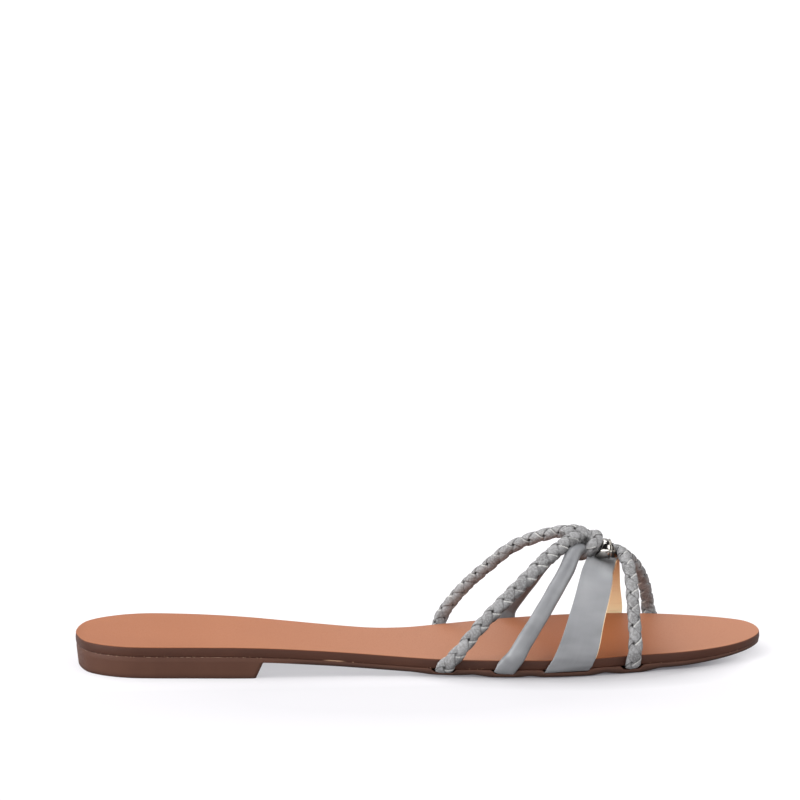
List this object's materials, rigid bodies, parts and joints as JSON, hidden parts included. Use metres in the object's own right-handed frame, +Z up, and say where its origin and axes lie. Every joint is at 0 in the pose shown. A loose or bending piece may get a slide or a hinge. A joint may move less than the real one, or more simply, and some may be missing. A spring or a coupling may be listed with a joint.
{
  "type": "strappy slide sandal",
  "caption": "Flat strappy slide sandal for a right foot: thin leather sole on a low heel, with braided, rolled and flat straps tied in a knot over the instep and held by a metal ring.",
  "frame": {"origin": "on the floor under the middle of the bounding box", "axes": "+X from heel to toe, +Y to the inner side of the foot, +Z up from the floor"},
  "size_m": [0.25, 0.0862, 0.0472],
  "materials": {
    "sock_leather": "satin tan",
    "board_edge": "painted dark brown edge",
    "sole_leather": "dyed brown",
    "strap_leather": "satin grey",
    "polished_metal": "polished"
  },
  "bodies": {
    "root": {"insole": "sock_leather", "midsole": "board_edge", "outsole": "sole_leather", "heel": "sole_leather", "upper": "strap_leather", "ring": "polished_metal"}
  },
  "joints": []
}
